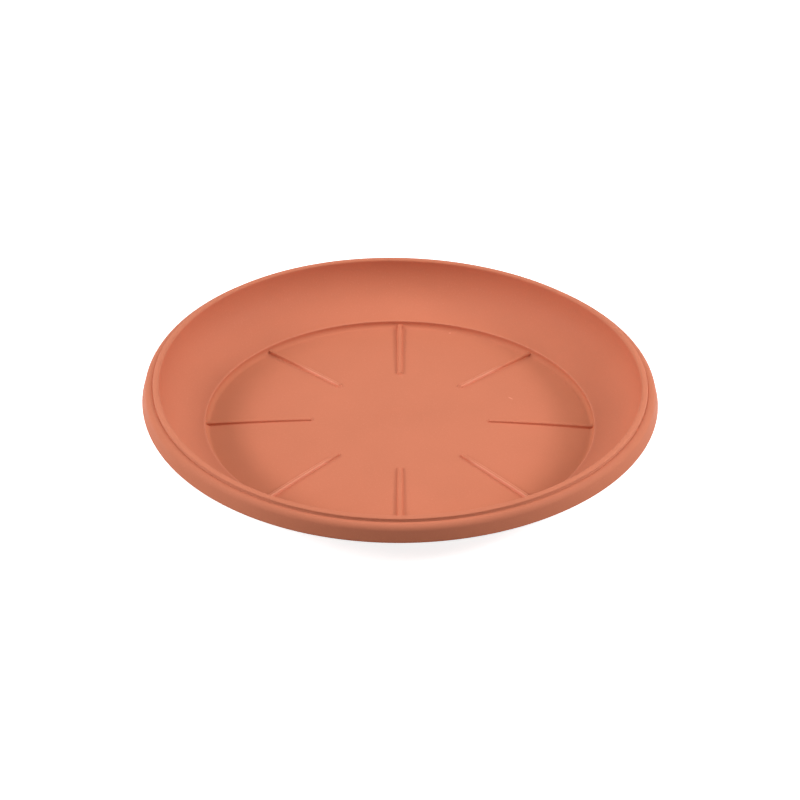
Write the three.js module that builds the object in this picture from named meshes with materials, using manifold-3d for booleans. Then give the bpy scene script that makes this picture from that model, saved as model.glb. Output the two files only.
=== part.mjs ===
// Round plastic plant saucer: one moulding with a coved wall, a turned-down rim and a ribbed floor.
// Millimetres, +Z up. The origin is at the middle of the foot, on the ground.

import * as THREE from 'three';
import { mergeVertices } from 'three/addons/utils/BufferGeometryUtils.js';
import Module from 'manifold-3d';

// Driving dimensions of the rim
const RIM_RADIUS = 150; // outside of the skirt's lower edge
const RIM_WIDTH = 10; // from the top of the wall out to the skirt's lower edge
const BEAD_WIDTH = 4.4; // raised lip round the top of the wall
const BEAD_EDGE = 1.4; // rounding of the lip's inner edge
const BEAD_OUTER_EDGE = 0.8; // rounding of the lip's outer edge, above the crease
const CREASE_DEPTH = 2; // crease outside the lip, below the lip's top
const SHOULDER_RADIUS = 5.4; // round between crease and skirt
const SKIRT_SLOPE = 19.5; // degrees by which the skirt spreads outwards on its way down
const SKIRT_DROP = 12.6; // skirt's lower edge, below the top of the lip
const SKIRT_WALL = 1.8; // skirt, a little thinner than the rest

// Driving dimensions of the wall and floor
const WALL = 2; // thickness of wall and floor
const COVE_RADIUS = 26; // inside of the wall, a hollow quarter round
const STEP_HEIGHT = 4.1; // ledge at the wall's bottom, above the floor's edge
const LEDGE_EDGE = 0.5; // rounding of the ledge's edge
const FOOT_WIDTH = 8; // flat ring that stands on the ground
const FOOT_EDGE = 0.8; // rounding of the foot's outer edge
const DOME_RISE = 5; // middle of the domed floor above its edge
const DIMPLE_RADIUS = 15; // shallow hollow in the middle, where the plastic flowed in
const DIMPLE_DEPTH = 0.4;

// Driving dimensions of the ribs
const RIB_COUNT = 8;
const RIB_WIDTH = 2.8;
const RIB_HEIGHT = 1.8; // above the floor, all along
const RIB_EDGE = 0.9; // rounding of the rib's two upper edges
const RIB_START = 52; // inner end, from the axis
const RIB_RAMP = 3.5; // length of the slope at the inner end

// Fineness of the round forms
const TURN_STEPS = 64;
const COVE_STEPS = 8;
const FLOOR_STEPS = 5;
const SHOULDER_STEPS = 4;
const ROUND_STEPS = 3;

// Heights and radii that follow from the driving dimensions
const floorEdgeHeight = WALL;
const ledgeHeight = floorEdgeHeight + STEP_HEIGHT;
const coveTopHeight = ledgeHeight + COVE_RADIUS;
const rimHeight = coveTopHeight + BEAD_EDGE;
const skirtBottom = rimHeight - SKIRT_DROP;
const shoulderTop = rimHeight - CREASE_DEPTH;
const channelTop = shoulderTop - SKIRT_WALL;
const dimpleHeight = floorEdgeHeight + DOME_RISE - DIMPLE_DEPTH;

const wallTopRadius = RIM_RADIUS - RIM_WIDTH;
const beadOuterRadius = wallTopRadius + BEAD_WIDTH;
const ledgeRadius = wallTopRadius - COVE_RADIUS;
const stepFillet = STEP_HEIGHT - LEDGE_EDGE;
const floorEdgeRadius = ledgeRadius - LEDGE_EDGE - stepFillet;
const footOuterRadius = ledgeRadius + WALL / 2;
const footInnerRadius = footOuterRadius - FOOT_WIDTH;
const coveOuterRadius = COVE_RADIUS + WALL;

const wasm = await Module();
wasm.setup();

function point(radius, height) {
  return new THREE.Vector2(radius, height);
}

// Points on part of a circle, between two angles measured from the outward direction.
function roundArc(centre, radius, fromDegrees, toDegrees, steps = ROUND_STEPS) {
  const points = [];
  for (let step = 0; step <= steps; step += 1) {
    const angle = THREE.MathUtils.degToRad(THREE.MathUtils.lerp(fromDegrees, toDegrees, step / steps));
    points.push(point(centre.x + radius * Math.cos(angle), centre.y + radius * Math.sin(angle)));
  }
  return points;
}

// Top of the domed floor at a radius.
function floorHeight(radius) {
  const share = radius / floorEdgeRadius;
  return floorEdgeHeight + DOME_RISE * (1 - share * share);
}

// Points along the dome between two radii, at a depth below its top.
function floorPoints(fromRadius, toRadius, depth) {
  const points = [];
  for (let step = 0; step <= FLOOR_STEPS; step += 1) {
    const radius = THREE.MathUtils.lerp(fromRadius, toRadius, step / FLOOR_STEPS);
    points.push(point(radius, floorHeight(radius) - depth));
  }
  return points;
}

// A round solid from a profile of radius and height that starts and ends on the axis or closes on itself.
function turned(profile) {
  const geometry = new THREE.LatheGeometry(profile, TURN_STEPS);
  geometry.rotateX(Math.PI / 2);
  return solid(geometry);
}

// A closed solid from a geometry: shared corners merged, flat triangles on the axis left out.
function solid(geometry) {
  geometry.deleteAttribute('normal');
  geometry.deleteAttribute('uv');
  const merged = mergeVertices(geometry, 1e-4);
  const corners = merged.index.array;
  const triangles = [];
  for (let start = 0; start < corners.length; start += 3) {
    const [a, b, c] = corners.slice(start, start + 3);
    if (a !== b && b !== c && c !== a) {
      triangles.push(a, b, c);
    }
  }
  const mesh = new wasm.Mesh({
    numProp: 3,
    vertProperties: Float32Array.from(merged.attributes.position.array),
    triVerts: Uint32Array.from(triangles),
  });
  return new wasm.Manifold(mesh);
}

// Underside from the axis to the foot, and the outside of the wall up to the hollow under the rim.
function undersideProfile() {
  const coveCentre = point(ledgeRadius, coveTopHeight);
  const footAngle = THREE.MathUtils.radToDeg(Math.acos((footOuterRadius - ledgeRadius) / coveOuterRadius));
  const channelAngle = THREE.MathUtils.radToDeg(Math.asin((coveTopHeight - channelTop) / coveOuterRadius));
  const dome = floorPoints(0, footInnerRadius, WALL);
  return [
    ...dome.slice(0, -1),
    point(footInnerRadius, 0),
    ...roundArc(point(footOuterRadius - FOOT_EDGE, FOOT_EDGE), FOOT_EDGE, -90, 0),
    ...roundArc(coveCentre, coveOuterRadius, -footAngle, -channelAngle, COVE_STEPS),
  ];
}

// Middle of the shoulder's round, placed so that the round runs straight into the skirt's outside.
function shoulderCentre(lowerEdge) {
  const slope = THREE.MathUtils.degToRad(SKIRT_SLOPE);
  const height = shoulderTop - SHOULDER_RADIUS;
  const inset = (SHOULDER_RADIUS - SKIRT_WALL / 2) / Math.cos(slope);
  return point(lowerEdge.x - inset - (height - lowerEdge.y) * Math.tan(slope), height);
}

// Down the inside of the skirt, round its lower edge and up to the lip.
function rimProfile() {
  const edge = SKIRT_WALL / 2;
  const lowerEdge = point(RIM_RADIUS - edge, skirtBottom + edge);
  const shoulder = shoulderCentre(lowerEdge);
  const reach = THREE.MathUtils.clamp((beadOuterRadius - shoulder.x) / SHOULDER_RADIUS, 0, 1);
  const creaseAngle = THREE.MathUtils.radToDeg(Math.acos(reach));
  const lipEdge = point(beadOuterRadius - BEAD_OUTER_EDGE, rimHeight - BEAD_OUTER_EDGE);
  return [
    ...roundArc(shoulder, SHOULDER_RADIUS - SKIRT_WALL, 90, SKIRT_SLOPE),
    ...roundArc(lowerEdge, edge, SKIRT_SLOPE - 180, SKIRT_SLOPE, 2 * ROUND_STEPS),
    ...roundArc(shoulder, SHOULDER_RADIUS, SKIRT_SLOPE, creaseAngle, SHOULDER_STEPS),
    ...roundArc(lipEdge, BEAD_OUTER_EDGE, 0, 90),
    ...roundArc(point(wallTopRadius + BEAD_EDGE, rimHeight - BEAD_EDGE), BEAD_EDGE, 90, 180),
  ];
}

// Down the cove, over the ledge and up the domed floor to the axis.
function insideProfile() {
  return [
    ...roundArc(point(ledgeRadius, coveTopHeight), COVE_RADIUS, 0, -90, COVE_STEPS),
    ...roundArc(point(ledgeRadius, ledgeHeight - LEDGE_EDGE), LEDGE_EDGE, 90, 180),
    ...roundArc(point(floorEdgeRadius, floorEdgeHeight + stepFillet), stepFillet, 0, -90),
    ...floorPoints(floorEdgeRadius, DIMPLE_RADIUS, 0),
    point(DIMPLE_RADIUS / 2, dimpleHeight),
    point(0, dimpleHeight),
  ];
}

// Neighbouring arcs share an end point, which is kept once.
function withoutRepeats(profile) {
  return profile.filter((place, index) => index === 0 || place.distanceTo(profile[index - 1]) > 1e-3);
}

// Section of a rib under the line of its crest. The sweep turns the drawing over, so depth counts upwards.
function ribSection() {
  const half = RIB_WIDTH / 2;
  const flat = half - RIB_EDGE;
  const foot = RIB_HEIGHT + WALL;
  const section = new THREE.Shape();
  section.moveTo(-half, foot);
  section.lineTo(-half, RIB_EDGE);
  section.absarc(-flat, RIB_EDGE, RIB_EDGE, Math.PI, 1.5 * Math.PI, false);
  section.absarc(flat, RIB_EDGE, RIB_EDGE, 1.5 * Math.PI, 2 * Math.PI, false);
  section.lineTo(half, foot);
  return section;
}

// One rib: a bar swept along the dome from its inner end out into the step.
function ribBar(turn) {
  const middle = (RIB_START + ledgeRadius) / 2;
  const bend = (ledgeRadius - RIB_START) / 2 / floorEdgeRadius;
  const crest = new THREE.QuadraticBezierCurve3(
    new THREE.Vector3(RIB_START, 0, floorHeight(RIB_START) + RIB_HEIGHT),
    new THREE.Vector3(middle, 0, floorHeight(middle) + DOME_RISE * bend * bend + RIB_HEIGHT),
    new THREE.Vector3(ledgeRadius, 0, floorHeight(ledgeRadius) + RIB_HEIGHT),
  );
  const bar = new THREE.ExtrudeGeometry(ribSection(), {
    steps: FLOOR_STEPS,
    curveSegments: ROUND_STEPS,
    extrudePath: crest,
  });
  bar.rotateZ(turn);
  return solid(bar);
}

// The space that the ribs keep: from inside the floor's thickness up, behind the slope of their inner ends.
function ribSpace() {
  const sunk = WALL / 2;
  const start = floorHeight(RIB_START);
  const top = start + 2 * RIB_HEIGHT;
  return turned([
    ...floorPoints(RIB_START, floorEdgeRadius, sunk),
    point(ledgeRadius, floorEdgeHeight - sunk),
    point(ledgeRadius, top),
    point(RIB_START + 2 * RIB_RAMP, top),
    point(RIB_START, start),
    point(RIB_START, start - sunk),
  ]);
}

function saucerSolid() {
  const profile = withoutRepeats([...undersideProfile(), ...rimProfile(), ...insideProfile()]);
  const space = ribSpace();
  let saucer = turned(profile);
  for (let index = 0; index < RIB_COUNT; index += 1) {
    const rib = ribBar((index / RIB_COUNT) * Math.PI * 2);
    saucer = saucer.add(rib.intersect(space));
  }
  return saucer;
}

function geometryOf(manifold) {
  const mesh = manifold.getMesh();
  const geometry = new THREE.BufferGeometry();
  geometry.setAttribute('position', new THREE.BufferAttribute(mesh.vertProperties, mesh.numProp));
  geometry.setIndex(new THREE.BufferAttribute(mesh.triVerts, 1));
  geometry.computeVertexNormals();
  return geometry;
}

const terracottaPlastic = new THREE.MeshStandardMaterial({
  color: 0xd27d5f,
  roughness: 0.5,
  metalness: 0,
});

const saucer = new THREE.Mesh(geometryOf(saucerSolid()), terracottaPlastic);
saucer.name = 'saucer';

const part = new THREE.Group();
part.add(saucer);

export default part;
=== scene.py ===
"""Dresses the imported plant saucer: one terracotta plastic moulding on a white table, in soft light."""
import math

import bpy
from mathutils import Matrix, Vector


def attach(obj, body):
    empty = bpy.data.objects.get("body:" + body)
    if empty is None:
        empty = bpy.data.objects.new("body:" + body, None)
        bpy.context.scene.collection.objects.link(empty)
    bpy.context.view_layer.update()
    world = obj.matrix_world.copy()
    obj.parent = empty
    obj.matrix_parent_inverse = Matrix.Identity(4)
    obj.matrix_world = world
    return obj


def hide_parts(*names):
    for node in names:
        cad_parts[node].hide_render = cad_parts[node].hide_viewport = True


# One millimetre in the scene's metres
MILLIMETRE = 0.001

# Sizes of the saucer in millimetres, its slopes and spreads in degrees
RIM_RADIUS = 150.0
RIM_WIDTH = 10.0
LIP_WIDTH = 3.7
LIP_EDGE = 1.4
LIP_OUTER_EDGE = 0.6
LIP_RISE = 0.15
LIP_FALL = 0.5
CREASE_DEPTH = 2.3
GROOVE_WIDTH = 0.45
GROOVE_DEPTH = 0.4
SHOULDER_RADIUS = 4.2
SKIRT_SLOPE = 13.0
SKIRT_DROP = 12.6
SKIRT_WALL = 1.8
WALL = 2.0
COVE_RADIUS = 26.0
STEP_HEIGHT = 4.1
STEP_FILLET = 2.8
LEDGE_EDGE = 0.5
FOOT_WIDTH = 8.0
FOOT_BANK = 5.0
FOOT_EDGE = 0.8
DOME_RISE = 5.0
DIMPLE_RADIUS = 15.0
DIMPLE_DEPTH = 0.9
DIMPLE_LEVEL_SHARE = 0.375
RIB_COUNT = 8
RIB_START = 50.8
RIB_RAMP = 1.6
RIB_START_HEIGHT = 1.3
RIB_HEIGHT = 2.0
RIB_WIDTH = 2.6
RIB_EDGE = 0.7
RIB_FOOT = 0.5
RIB_SPREAD = 1.6

# Mark left in the middle of the floor where the plastic flowed in
GATE_PLACE = (-0.2, 0.8)
GATE_RADIUS = 1.3
GATE_HEIGHT = 0.3

# Slight twist and oval of the rim, left from cooling
WARP_SINE = -0.95
WARP_COSINE = 0.39
WARP_SINK = 0.2
WARP_OVAL = 1.3

# Heights and radii that follow
FLOOR_EDGE_HEIGHT = WALL
LEDGE_HEIGHT = FLOOR_EDGE_HEIGHT + STEP_HEIGHT
COVE_TOP = LEDGE_HEIGHT + COVE_RADIUS
RIM_HEIGHT = COVE_TOP + LIP_EDGE
LIP_TOP = RIM_HEIGHT + LIP_RISE
SKIRT_BOTTOM = RIM_HEIGHT - SKIRT_DROP
SHOULDER_TOP = RIM_HEIGHT - CREASE_DEPTH
CHANNEL_TOP = SHOULDER_TOP - SKIRT_WALL
WALL_TOP_RADIUS = RIM_RADIUS - RIM_WIDTH
LIP_OUTER_RADIUS = WALL_TOP_RADIUS + LIP_WIDTH
LEDGE_RADIUS = WALL_TOP_RADIUS - COVE_RADIUS
FLOOR_EDGE_RADIUS = LEDGE_RADIUS - LEDGE_EDGE - STEP_FILLET
FOOT_OUTER_RADIUS = LEDGE_RADIUS + WALL / 2
FOOT_INNER_RADIUS = FOOT_OUTER_RADIUS - FOOT_WIDTH
COVE_OUTER_RADIUS = COVE_RADIUS + WALL

# Steps in which round stretches of the section are drawn
FOOT_STEPS = 5
OUTER_COVE_STEPS = 28
CHANNEL_STEPS = 6
SKIRT_EDGE_STEPS = 10
SKIRT_STEPS = 4
SHOULDER_STEPS = 14
LIP_STEPS = 9
COVE_STEPS = 40
LEDGE_STEPS = 7
FILLET_STEPS = 16

# Rows of the underside: how many the dome has, and their spacing
UNDERSIDE_ROWS = 7
UNDERSIDE_SPACING = 15.0

# Rows of the floor: distances in from its edge, radii near the ribs' starts, and radii inside them
EDGE_ROWS = (1.0, 3.0, 6.0, 10.0, 15.0, 21.0, 27.0, 33.0, 39.0, 45.0)
RIB_ROWS = (58.0, 54.0)
INNER_ROWS = (48.0, 44.0, 36.0, 28.0, 21.0, 17.0)

# Stretches of closer rows at the ribs' starts, the hollow and the gate mark, each from radius to radius
CLOSE_ROWS = 12
RAMP_STRETCH = (RIB_START + 1.8, RIB_START - 0.4)
DIMPLE_STRETCH = (DIMPLE_RADIUS, 4.0)
GATE_STRETCH = (2.6, 0.18)

# Columns: shares that divide a rib's rounded edges, how far those beside it reach, and how many lie
# between ribs
ROUNDING_SHARES = (0.02, 0.08, 0.18, 0.32, 0.5, 0.72, 1.0)
BESIDE_RIB = 0.7
NEAR_RIB = 4.2
FAR_COLUMNS = 10

# Distance under which two points of the section are one, and distance under which a point is on the axis
SAME_POINT = 1e-3
ON_AXIS = 1e-6

# Edges painted paler, partly from wear and partly as a painted highlight of the side lamps: radius and
# height, how far the paling reaches, and how pale it is
WORN_AND_HIGHLIT_EDGES = (
    (LEDGE_RADIUS - LEDGE_EDGE, LEDGE_HEIGHT),
    (WALL_TOP_RADIUS, LIP_TOP),
    (LIP_OUTER_RADIUS, LIP_TOP - LIP_FALL),
)
EDGE_PALING_REACH = 1.3
EDGE_WEAR_AND_HIGHLIGHT = 0.18

# Slanting ribs with a painted highlight of the side lamps along their edges, with the radii between which
# each is painted
HIGHLIGHTED_RIBS = {1: (48.0, 88.0), 3: (48.0, 88.0), 5: (56.0, 122.0), 7: (56.0, 122.0)}
RIB_HIGHLIGHT = 0.6
RIB_HIGHLIGHT_FADE = 10.0
RIB_HIGHLIGHT_WIDTH = 1.5 * RIB_EDGE

# Painted shade on the left and right of the floor, where the walls keep the side lamps off: radius where
# it starts, and its share at front and back
PAINTED_SHADE_START = 78.0
PAINTED_SHADE_LEAST = 0.2

# Scuffs: place, turn in degrees, then length and width
SCUFFS = (
    ((65.3, 27.5, 4.9), -43.0, 4.6, 1.3),
    ((30.4, 106.5, 2.6), 0.0, 1.7, 1.7),
    ((-6.2, 136.9, 19.8), 2.0, 2.8, 2.0),
)
SCUFF_DEPTH = 4.0
SCUFF_FADE = (0.0, 0.5)
SCUFF_PALENESS = (0.0, 0.6)

# Colours of the plastic in linear light
CLAY_DEEP = (0.612, 0.2, 0.1135, 1.0)
CLAY_LIGHT = (0.642, 0.21, 0.12, 1.0)
CLAY_SPECK = (0.7, 0.25, 0.15, 1.0)
# Paler colour for scuffs and worn edges, and for painted highlights on edges and slanting ribs
CLAY_WORN_AND_HIGHLIT = (0.85, 0.36, 0.24, 1.0)
# Darker colour for painted shade on the floor's left and right sides
CLAY_PAINTED_SHADE = (0.575, 0.19, 0.101, 1.0)

# Patterns of the plastic: size in millimetres, then layers of finer detail
CLOUDS = (42.0, 3.0)
SPECKS = (0.9, 2.0)
PAINTED_SHADE_PATCHES = (14.0, 3.0)
WAVES = (30.0, 1.0)
GRAIN = (0.4, 2.0)

# Bounds between which a pattern fades in, what it fades between, and depths in millimetres
CLOUD_BOUNDS = (0.3, 0.7)
SPECK_BOUNDS = (0.55, 0.8)
CLOUD_SHARES = (0.0, 1.0)
SPECK_SHARES = (0.0, 0.4)
PAINTED_SHADE_SHARES = (0.7, 1.0)
ROUGHNESS = (0.44, 0.52)
SPECULAR_LEVEL = 0.03
WAVE_DEPTH = 0.05
GRAIN_DEPTH = 0.008

# Sockets of a mix node that take its two colours, and the one that gives the result
MIX_COLOURS = (6, 7)
MIX_RESULT = 2

# Soft boxes: name, azimuth, elevation, width and height in degrees, power in watts
SOFT_LIGHTS = (
    ("right_low", 90.0, 22.0, 25.0, 14.0, 3.7),
    ("right_middle", 90.0, 30.0, 25.0, 8.0, 9.2),
    ("right_high", 90.0, 52.0, 40.0, 15.0, 3.4),
    ("right_front", 65.0, 38.0, 25.0, 8.0, 5.1),
    ("left_low", -90.0, 22.0, 25.0, 14.0, 6.3),
    ("left_middle", -90.0, 30.0, 25.0, 8.0, 5.0),
    ("left_front", -65.0, 30.0, 25.0, 8.0, 5.8),
    ("top_left", -90.0, 72.0, 30.0, 30.0, 6.5),
    ("top_back", 180.0, 72.0, 30.0, 30.0, 3.6),
)
LIGHT_DISTANCE = 1.6

# Table, its size in metres: how much light it throws back, its white to the eye, and its glow there
TABLE_SIZE = 2.4
TABLE_BOUNCE = 0.45
TABLE_WHITE = 0.9
TABLE_GLOW = 0.85
WHITE = (1.0, 1.0, 1.0, 1.0)

# Camera, from the photograph: angles in degrees, lengths in millimetres
CAMERA_ELEVATION = 31.76
CAMERA_AZIMUTH = -0.4
CAMERA_ROLL = 0.675
CAMERA_DISTANCE = 2500.0
CAMERA_LENS = 193.94
CAMERA_SENSOR = 36.0
CAMERA_REACH = 20000.0
AIM_HEIGHT = 39.14
AIM_RIGHT = -0.26
AIM_DOWN = 16.24


def evenly(start, end, count):
    """Evenly spaced values from a start to an end."""
    return [start + (end - start) * step / (count - 1) for step in range(count)]


def round_arc(centre, radius, start, end, steps):
    """Points on part of a circle, between two angles in degrees."""
    points = []
    for angle in evenly(math.radians(start), math.radians(end), steps + 1):
        points.append((centre[0] + radius * math.cos(angle), centre[1] + radius * math.sin(angle)))
    return points


def line(start, end, steps):
    """Points between two places, without the places themselves."""
    points = []
    for step in range(1, steps):
        share = step / steps
        points.append(tuple(a + (b - a) * share for a, b in zip(start, end)))
    return points


def ease(share):
    """Smooth change from 0 to 1."""
    share = min(max(share, 0.0), 1.0)
    return share * share * (3.0 - 2.0 * share)


def dome(radius):
    """Height of the domed floor without its ribs and its hollow."""
    share = radius / FLOOR_EDGE_RADIUS
    return FLOOR_EDGE_HEIGHT + DOME_RISE * (1.0 - share * share)


def floor_height(radius):
    """Height of the floor without its ribs, from the axis out to the step."""
    inward = (1.0 - radius / DIMPLE_RADIUS) / (1.0 - DIMPLE_LEVEL_SHARE)
    return dome(radius) - DIMPLE_DEPTH * ease(inward)


def underside_section():
    """Section from the axis along the underside and the foot ring, and up the outside of the wall."""
    foot_angle = math.degrees(math.acos((FOOT_OUTER_RADIUS - LEDGE_RADIUS) / COVE_OUTER_RADIUS))
    channel_angle = math.degrees(math.asin((COVE_TOP - CHANNEL_TOP) / COVE_OUTER_RADIUS))
    radii = [UNDERSIDE_SPACING * step for step in range(UNDERSIDE_ROWS)]
    radii.append(FOOT_INNER_RADIUS - FOOT_BANK)
    points = [(radius, dome(radius) - WALL) for radius in radii]
    points.append((FOOT_INNER_RADIUS, 0.0))
    foot_edge = (FOOT_OUTER_RADIUS - FOOT_EDGE, FOOT_EDGE)
    points += round_arc(foot_edge, FOOT_EDGE, -90, 0, FOOT_STEPS)
    cove_centre = (LEDGE_RADIUS, COVE_TOP)
    points += round_arc(cove_centre, COVE_OUTER_RADIUS, -foot_angle, -channel_angle, OUTER_COVE_STEPS)
    return points


def rim_section():
    """Section from the channel round the skirt and over the shoulder, the groove and the lip."""
    edge = SKIRT_WALL / 2
    slope = math.radians(SKIRT_SLOPE)
    lower_edge = (RIM_RADIUS - edge, SKIRT_BOTTOM + edge)
    height = SHOULDER_TOP - SHOULDER_RADIUS
    inset = (SHOULDER_RADIUS - edge) / math.cos(slope)
    shoulder = (lower_edge[0] - inset - (height - lower_edge[1]) * math.tan(slope), height)
    groove = (LIP_OUTER_RADIUS + GROOVE_WIDTH - shoulder[0]) / SHOULDER_RADIUS
    crease_angle = math.degrees(math.acos(groove))
    points = round_arc(shoulder, SHOULDER_RADIUS - SKIRT_WALL, 90, SKIRT_SLOPE, CHANNEL_STEPS)
    points += round_arc(lower_edge, edge, SKIRT_SLOPE - 180, SKIRT_SLOPE, SKIRT_EDGE_STEPS)
    outer = round_arc(shoulder, SHOULDER_RADIUS, SKIRT_SLOPE, crease_angle, SHOULDER_STEPS)
    points += line(points[-1], outer[0], SKIRT_STEPS) + outer
    points.append((LIP_OUTER_RADIUS, outer[-1][1] - GROOVE_DEPTH))
    outer_edge = (LIP_OUTER_RADIUS - LIP_OUTER_EDGE, LIP_TOP - LIP_FALL - LIP_OUTER_EDGE)
    points += round_arc(outer_edge, LIP_OUTER_EDGE, 0, 90, LIP_STEPS)
    inner_edge = (WALL_TOP_RADIUS + LIP_EDGE, LIP_TOP - LIP_EDGE)
    points += round_arc(inner_edge, LIP_EDGE, 90, 180, LIP_STEPS)
    return points


def inside_section():
    """Section from the lip down the hollow wall, over the ledge and step, and along the floor."""
    points = round_arc((LEDGE_RADIUS, COVE_TOP), COVE_RADIUS, 0, -90, COVE_STEPS)
    points += round_arc((LEDGE_RADIUS, LEDGE_HEIGHT - LEDGE_EDGE), LEDGE_EDGE, 90, 180, LEDGE_STEPS)
    fillet = (FLOOR_EDGE_RADIUS, FLOOR_EDGE_HEIGHT + STEP_FILLET)
    points += round_arc(fillet, STEP_FILLET, 0, -90, FILLET_STEPS)
    radii = [FLOOR_EDGE_RADIUS - gap for gap in EDGE_ROWS]
    radii += RIB_ROWS
    radii += evenly(*RAMP_STRETCH, CLOSE_ROWS)
    radii += INNER_ROWS
    radii += evenly(*DIMPLE_STRETCH, CLOSE_ROWS)
    radii += evenly(*GATE_STRETCH, CLOSE_ROWS)
    radii.append(0.0)
    points += [(radius, floor_height(radius)) for radius in radii]
    return points


def without_repeats(points):
    """The points of a section, without those that repeat the one before."""
    kept = [points[0]]
    for place in points[1:]:
        if math.dist(place, kept[-1]) > SAME_POINT:
            kept.append(place)
    return kept


def column_offsets():
    """Columns of one rib's sector: distances from its middle line, then shares of the way to its edge."""
    half = RIB_WIDTH / 2
    right = [half - RIB_EDGE * share for share in reversed(ROUNDING_SHARES)]
    right.append(half)
    right += [half + RIB_FOOT * share for share in ROUNDING_SHARES]
    right += [half + RIB_FOOT + BESIDE_RIB, NEAR_RIB]
    near = [-offset for offset in reversed(right)] + [0.0] + right
    far = [step / FAR_COLUMNS for step in range(1, FAR_COLUMNS + 1)]
    columns = [("far", -share) for share in reversed(far[:-1])]
    columns += [("near", offset) for offset in near]
    columns += [("far", share) for share in far]
    return columns


def column_angle(column, radius):
    """Angle of a column at a radius: columns run along the ribs and spread evenly between them."""
    kind, value = column
    reach = min(max(radius, RIB_START), LEDGE_RADIUS)
    if kind == "near":
        return math.asin(value / reach)
    inner = math.asin(NEAR_RIB / reach)
    outer = math.pi / RIB_COUNT
    return math.copysign(inner + (outer - inner) * abs(value), value)


def rib_top(along, offset):
    """Height of a rib's surface beside its middle line: rounded above, with a hollow fillet below."""
    half = RIB_WIDTH / 2
    side = abs(offset)
    if side <= half:
        share = max((side - half) / RIB_EDGE + 1.0, 0.0)
        way = (along - RIB_START) / (FLOOR_EDGE_RADIUS - RIB_START)
        height = RIB_START_HEIGHT + (RIB_HEIGHT - RIB_START_HEIGHT) * way
        rise = height - RIB_EDGE + RIB_EDGE * math.sqrt(1.0 - share * share)
    else:
        share = min((side - half) / RIB_FOOT, 1.0)
        rise = RIB_FOOT * (1.0 - math.sqrt(1.0 - (1.0 - share) ** 2))
    return dome(math.hypot(along, offset)) + rise * ease((along - RIB_START) / RIB_RAMP)


def gate_mark(x, y):
    """Height of the mark in the middle of the floor."""
    gap = math.dist((x, y), GATE_PLACE)
    return GATE_HEIGHT * ease(1.0 - gap / GATE_RADIUS)


def edge_wear_and_highlight(radius, height, turn):
    """Paleness of an edge, from wear and a painted highlight: on the lip mostly at the left and right,
    under the side lamps.
    """
    nearest = min(math.dist((radius, height), edge) for edge in WORN_AND_HIGHLIT_EDGES)
    lamp_side_share = math.cos(turn) ** 2 if height > COVE_TOP else 1.0
    return EDGE_WEAR_AND_HIGHLIGHT * lamp_side_share * ease(1.0 - nearest / EDGE_PALING_REACH)


def rib_highlight(rib, along, offset):
    """Strength of a rib's painted highlight: most on its edges and sides, between its own two radii."""
    if rib not in HIGHLIGHTED_RIBS:
        return 0.0
    start, end = HIGHLIGHTED_RIBS[rib]
    lengthwise = ease((along - start) / RIB_HIGHLIGHT_FADE) * ease((end - along) / RIB_HIGHLIGHT_FADE)
    crosswise = ease((abs(offset) - RIB_WIDTH / 2 + RIB_HIGHLIGHT_WIDTH) / RIB_EDGE)
    return RIB_HIGHLIGHT * lengthwise * crosswise


def painted_shade_share(radius, turn):
    """How much painted shade darkens a place of the floor, up to 1 at the foot of the step."""
    if radius > LEDGE_RADIUS - LEDGE_EDGE:
        return 0.0
    side = PAINTED_SHADE_LEAST + (1.0 - PAINTED_SHADE_LEAST) * math.cos(turn) ** 2
    return side * ease((radius - PAINTED_SHADE_START) / (FLOOR_EDGE_RADIUS - PAINTED_SHADE_START))


def floor_turn(radius, turn):
    """Angle by which the slanting ribs lie nearer to the front and back than an even spread has them."""
    share = ease((WALL_TOP_RADIUS - radius) / COVE_RADIUS)
    return math.radians(RIB_SPREAD) * math.sin(2 * turn) * share


def rim_share(radius):
    """How far up the wall a radius lies, from 0 at its foot to 1 at the rim."""
    return ease((radius - LEDGE_RADIUS) / COVE_RADIUS)


def warp(radius, turn):
    """Height by which the twisted rim departs from a level one."""
    twist = WARP_SINE * math.sin(2 * turn) + WARP_COSINE * math.cos(2 * turn)
    return rim_share(radius) * (twist - WARP_SINK)


def oval(radius, turn):
    """Distance by which the rim lies farther out at the front and back than a round one."""
    return rim_share(radius) * WARP_OVAL * math.sin(turn) ** 2


def surface_point(radius, height, inside, rib, column):
    """A point of the saucer's surface, with its paleness from wear and painted highlights and its painted
    shade there.
    """
    turn = column_angle(column, radius)
    place = 2 * math.pi * rib / RIB_COUNT + turn
    place += floor_turn(radius, place)
    reach = radius + oval(radius, place)
    x = reach * math.cos(place)
    y = reach * math.sin(place)
    z = height + warp(radius, place)
    wear_and_highlight = edge_wear_and_highlight(radius, height, place)
    if not inside:
        return (x, y, z), wear_and_highlight, 0.0
    if RIB_START < radius < LEDGE_RADIUS:
        along = radius * math.cos(turn)
        offset = radius * math.sin(turn)
        top = rib_top(along, offset)
        if top > z + RIB_FOOT / 2:
            wear_and_highlight = rib_highlight(rib, along, offset)
        z = max(z, top)
    z += gate_mark(x, y)
    return (x, y, z), wear_and_highlight, painted_shade_share(radius, place)


def axis_point(height, inside):
    """The point on the axis, at the middle of the floor or of the underside."""
    if inside:
        height += gate_mark(0.0, 0.0)
    return (0.0, 0.0, height), 0.0, 0.0


def joined(rows):
    """Faces between neighbouring rows. A row of one point lies on the axis."""
    faces = []
    for lower, upper in zip(rows, rows[1:]):
        count = max(len(lower), len(upper))
        for step in range(count):
            after = (step + 1) % count
            if len(lower) == 1:
                faces.append((lower[0], upper[after], upper[step]))
            elif len(upper) == 1:
                faces.append((lower[step], lower[after], upper[0]))
            else:
                faces.append((lower[step], lower[after], upper[after], upper[step]))
    return faces


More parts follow.
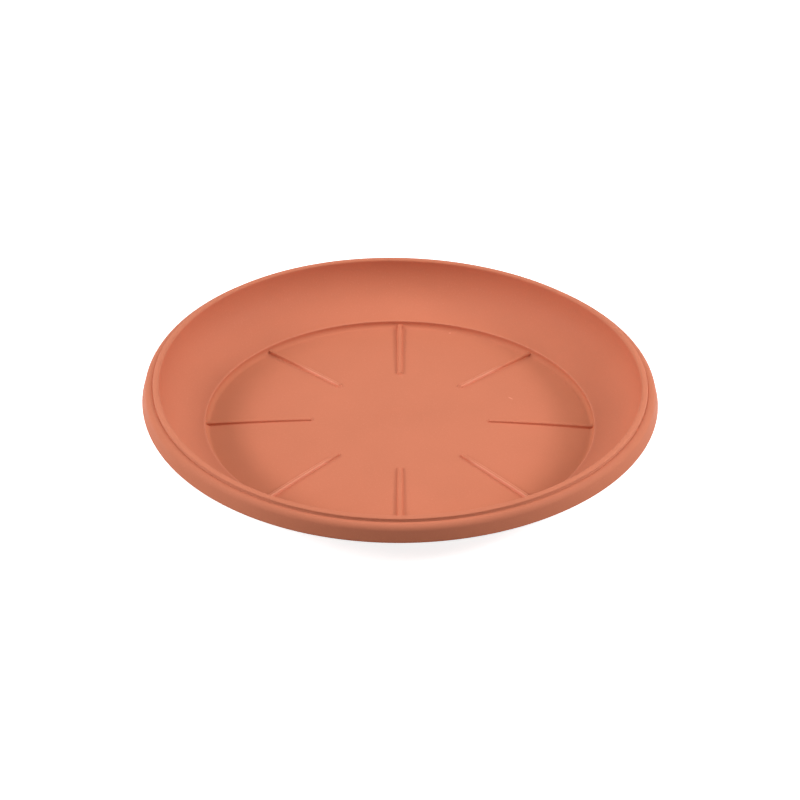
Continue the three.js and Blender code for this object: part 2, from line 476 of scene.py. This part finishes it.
def saucer_mesh():
    """The moulding as one closed mesh, which holds each point's paleness from wear and painted highlights
    and its painted shade.
    """
    section = without_repeats(underside_section() + rim_section() + inside_section())
    inside_start = len(section) - len(without_repeats(inside_section()))
    columns = [(rib, column) for rib in range(RIB_COUNT) for column in column_offsets()]
    points = []
    rows = []
    for index, (radius, height) in enumerate(section):
        inside = index >= inside_start
        start = len(points)
        if radius < ON_AXIS:
            points.append(axis_point(height, inside))
        else:
            points += [surface_point(radius, height, inside, rib, column) for rib, column in columns]
        rows.append(range(start, len(points)))
    places, wear_and_highlight, painted_shade = zip(*points)
    vertices = [tuple(MILLIMETRE * value for value in place) for place in places]
    mesh = bpy.data.meshes.new("saucer_moulding")
    mesh.from_pydata(vertices, [], joined(rows))
    mesh.validate()
    mesh.attributes.new("wear_and_highlight", "FLOAT", "POINT").data.foreach_set("value", wear_and_highlight)
    mesh.attributes.new("painted_shade", "FLOAT", "POINT").data.foreach_set("value", painted_shade)
    mesh.polygons.foreach_set("use_smooth", [True] * len(mesh.polygons))
    mesh.update()
    return mesh


def noise(nodes, links, place, pattern):
    """Cloudy pattern from 0 to 1, with a grain of about the pattern's size."""
    size, detail = pattern
    clouds = nodes.new("ShaderNodeTexNoise")
    clouds.inputs["Scale"].default_value = 1.0 / (MILLIMETRE * size)
    clouds.inputs["Detail"].default_value = detail
    links.new(place, clouds.inputs["Vector"])
    return clouds.outputs["Fac"]


def spread(nodes, links, value, bounds, results):
    """A value between two bounds, brought between two results."""
    change = nodes.new("ShaderNodeMapRange")
    change.inputs["From Min"].default_value = bounds[0]
    change.inputs["From Max"].default_value = bounds[1]
    change.inputs["To Min"].default_value = results[0]
    change.inputs["To Max"].default_value = results[1]
    links.new(value, change.inputs["Value"])
    return change.outputs["Result"]


def blend(nodes, links, amount, first, second):
    """One colour over another. Each is a colour or the output of a node."""
    mix = nodes.new("ShaderNodeMix")
    mix.data_type = "RGBA"
    links.new(amount, mix.inputs["Factor"])
    for index, colour in zip(MIX_COLOURS, (first, second)):
        if isinstance(colour, tuple):
            mix.inputs[index].default_value = colour
        else:
            links.new(colour, mix.inputs[index])
    return mix.outputs[MIX_RESULT]


def combined(nodes, links, operation, first, second):
    """Two values joined by an operation such as MULTIPLY or MAXIMUM."""
    joint = nodes.new("ShaderNodeMath")
    joint.operation = operation
    links.new(first, joint.inputs[0])
    links.new(second, joint.inputs[1])
    return joint.outputs[0]


def written(nodes, name):
    """A value that the mesh holds for each of its points."""
    values = nodes.new("ShaderNodeAttribute")
    values.attribute_name = name
    return values.outputs["Fac"]


def scuff(nodes, links, place, centre, turn, length, width):
    """Paleness of a scuff: most in its middle, falling to 0 at its edge."""
    move = nodes.new("ShaderNodeMapping")
    move.vector_type = "TEXTURE"
    move.inputs["Location"].default_value = [MILLIMETRE * value for value in centre]
    move.inputs["Rotation"].default_value = (0.0, 0.0, math.radians(turn))
    move.inputs["Scale"].default_value = [MILLIMETRE * side / 2 for side in (length, width, SCUFF_DEPTH)]
    links.new(place, move.inputs["Vector"])
    spot = nodes.new("ShaderNodeTexGradient")
    spot.gradient_type = "SPHERICAL"
    links.new(move.outputs["Vector"], spot.inputs["Vector"])
    return spread(nodes, links, spot.outputs["Fac"], SCUFF_FADE, SCUFF_PALENESS)


def bumps(nodes, links, height, depth, normal=None):
    """Small unevenness of a depth in millimetres, on top of another."""
    bump = nodes.new("ShaderNodeBump")
    bump.inputs["Strength"].default_value = 1.0
    bump.inputs["Distance"].default_value = MILLIMETRE * depth
    links.new(height, bump.inputs["Height"])
    if normal is not None:
        links.new(normal, bump.inputs["Normal"])
    return bump.outputs["Normal"]


def clay_colour(nodes, links, place, cloud):
    """Uneven clay colour with pale specks, darker under painted shade, and paler at scuffs, worn edges
    and painted highlights.
    """
    tone = spread(nodes, links, cloud, CLOUD_BOUNDS, CLOUD_SHARES)
    colour = blend(nodes, links, tone, CLAY_DEEP, CLAY_LIGHT)
    speck = spread(nodes, links, noise(nodes, links, place, SPECKS), SPECK_BOUNDS, SPECK_SHARES)
    colour = blend(nodes, links, speck, colour, CLAY_SPECK)
    # Painted shade, broken into patches, on the floor's left and right sides
    patches = spread(nodes, links, noise(nodes, links, place, PAINTED_SHADE_PATCHES), CLOUD_BOUNDS, PAINTED_SHADE_SHARES)
    painted_shade_amount = combined(nodes, links, "MULTIPLY", written(nodes, "painted_shade"), patches)
    colour = blend(nodes, links, painted_shade_amount, colour, CLAY_PAINTED_SHADE)
    # Paleness from wear and painted highlights, raised further by the scuffs
    worn_and_highlit = written(nodes, "wear_and_highlight")
    for centre, turn, length, width in SCUFFS:
        mark = scuff(nodes, links, place, centre, turn, length, width)
        worn_and_highlit = combined(nodes, links, "MAXIMUM", worn_and_highlit, mark)
    return blend(nodes, links, worn_and_highlit, colour, CLAY_WORN_AND_HIGHLIT)


def plastic():
    """Terracotta plastic, dyed through: uneven in tone and gloss, finely grained."""
    material = bpy.data.materials.new("terracotta_plastic")
    material.use_nodes = True
    nodes = material.node_tree.nodes
    links = material.node_tree.links
    shader = nodes["Principled BSDF"]
    place = nodes.new("ShaderNodeTexCoord").outputs["Object"]
    cloud = noise(nodes, links, place, CLOUDS)
    links.new(clay_colour(nodes, links, place, cloud), shader.inputs["Base Color"])
    links.new(spread(nodes, links, cloud, CLOUD_BOUNDS, ROUGHNESS), shader.inputs["Roughness"])
    shader.inputs["Specular IOR Level"].default_value = SPECULAR_LEVEL
    wave = bumps(nodes, links, noise(nodes, links, place, WAVES), WAVE_DEPTH)
    grain = bumps(nodes, links, noise(nodes, links, place, GRAIN), GRAIN_DEPTH, wave)
    links.new(grain, shader.inputs["Normal"])
    return material


def seen_directly(nodes, links):
    """1 for rays that show the background, also in a shiny or clear surface, and 0 for light."""
    path = nodes.new("ShaderNodeLightPath")
    seen = path.outputs["Is Camera Ray"]
    for kind in ("Is Glossy Ray", "Is Transmission Ray"):
        seen = combined(nodes, links, "MAXIMUM", seen, path.outputs[kind])
    return seen


def table():
    """White table with the saucer's shadow. It throws less light back than its white to the eye would."""
    bpy.ops.mesh.primitive_plane_add(size=TABLE_SIZE, location=(0.0, 0.0, 0.0))
    floor = bpy.context.object
    floor.name = "table"
    material = bpy.data.materials.new("white_table")
    material.use_nodes = True
    nodes = material.node_tree.nodes
    links = material.node_tree.links
    nodes.remove(nodes["Principled BSDF"])
    dull = nodes.new("ShaderNodeBsdfDiffuse")
    dull.inputs["Color"].default_value = (TABLE_BOUNCE, TABLE_BOUNCE, TABLE_BOUNCE, 1.0)
    white = nodes.new("ShaderNodeBsdfDiffuse")
    white.inputs["Color"].default_value = (TABLE_WHITE, TABLE_WHITE, TABLE_WHITE, 1.0)
    glow = nodes.new("ShaderNodeEmission")
    glow.inputs["Strength"].default_value = TABLE_GLOW
    bright = nodes.new("ShaderNodeAddShader")
    links.new(white.outputs[0], bright.inputs[0])
    links.new(glow.outputs[0], bright.inputs[1])
    mix = nodes.new("ShaderNodeMixShader")
    links.new(seen_directly(nodes, links), mix.inputs[0])
    links.new(dull.outputs[0], mix.inputs[1])
    links.new(bright.outputs[0], mix.inputs[2])
    links.new(mix.outputs[0], nodes["Material Output"].inputs["Surface"])
    floor.data.materials.append(material)


def towards(azimuth, elevation):
    """Direction from the saucer, angles in degrees. Azimuth 0 is the camera's side and 90 the right."""
    turn = math.radians(azimuth)
    rise = math.radians(elevation)
    return Vector((math.sin(turn) * math.cos(rise), -math.cos(turn) * math.cos(rise), math.sin(rise)))


def seen_size(angle):
    """Size of a light that fills an angle in degrees, seen from the saucer."""
    return 2.0 * LIGHT_DISTANCE * math.tan(math.radians(angle) / 2)


def soft_light(name, azimuth, elevation, width, height, power):
    """A soft box that looks at the saucer, its width and height in degrees."""
    direction = towards(azimuth, elevation)
    data = bpy.data.lights.new(name, "AREA")
    data.shape = "RECTANGLE"
    data.size = seen_size(width)
    data.size_y = seen_size(height)
    data.energy = power
    light = bpy.data.objects.new(name, data)
    light.location = direction * LIGHT_DISTANCE
    light.rotation_euler = direction.to_track_quat("Z", "Y").to_euler()
    bpy.context.collection.objects.link(light)


def room():
    """White surroundings that are seen but throw no light."""
    world = bpy.data.worlds.new("room")
    world.use_nodes = True
    nodes = world.node_tree.nodes
    links = world.node_tree.links
    white = nodes["Background"]
    white.inputs["Color"].default_value = WHITE
    white.inputs["Strength"].default_value = 1.0
    mix = nodes.new("ShaderNodeMixShader")
    links.new(seen_directly(nodes, links), mix.inputs[0])
    links.new(white.outputs[0], mix.inputs[2])
    links.new(mix.outputs[0], nodes["World Output"].inputs["Surface"])
    bpy.context.scene.world = world


def camera():
    """The photograph's camera, aimed so that the saucer lies where the photograph has it."""
    turn = math.radians(CAMERA_AZIMUTH)
    roll = math.radians(CAMERA_ROLL)
    back = towards(CAMERA_AZIMUTH, CAMERA_ELEVATION)
    level_right = Vector((math.cos(turn), math.sin(turn), 0.0))
    level_up = back.cross(level_right)
    right = level_right * math.cos(roll) + level_up * math.sin(roll)
    up = level_up * math.cos(roll) - level_right * math.sin(roll)
    place = Vector((0.0, 0.0, AIM_HEIGHT)) + right * AIM_RIGHT - up * AIM_DOWN + back * CAMERA_DISTANCE
    data = bpy.data.cameras.new("camera")
    data.lens = CAMERA_LENS
    data.sensor_width = CAMERA_SENSOR
    data.clip_end = MILLIMETRE * CAMERA_REACH
    view = bpy.data.objects.new("camera", data)
    axes = Matrix((right, up, back)).transposed().to_4x4()
    view.matrix_world = Matrix.Translation(place * MILLIMETRE) @ axes
    bpy.context.collection.objects.link(view)
    bpy.context.scene.camera = view


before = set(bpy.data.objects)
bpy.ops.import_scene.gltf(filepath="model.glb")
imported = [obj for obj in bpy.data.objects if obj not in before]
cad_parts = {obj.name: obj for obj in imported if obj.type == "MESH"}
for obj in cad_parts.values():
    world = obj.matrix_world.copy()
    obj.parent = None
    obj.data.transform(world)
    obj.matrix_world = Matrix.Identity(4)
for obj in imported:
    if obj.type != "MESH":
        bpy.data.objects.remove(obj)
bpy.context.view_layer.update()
saucer = bpy.data.objects.new("saucer_moulding", saucer_mesh())
bpy.context.collection.objects.link(saucer)
saucer.data.materials.append(plastic())
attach(saucer, "root")
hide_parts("saucer")
table()
for soft_box in SOFT_LIGHTS:
    soft_light(*soft_box)
room()
camera()
bpy.context.scene.view_settings.view_transform = "Standard"
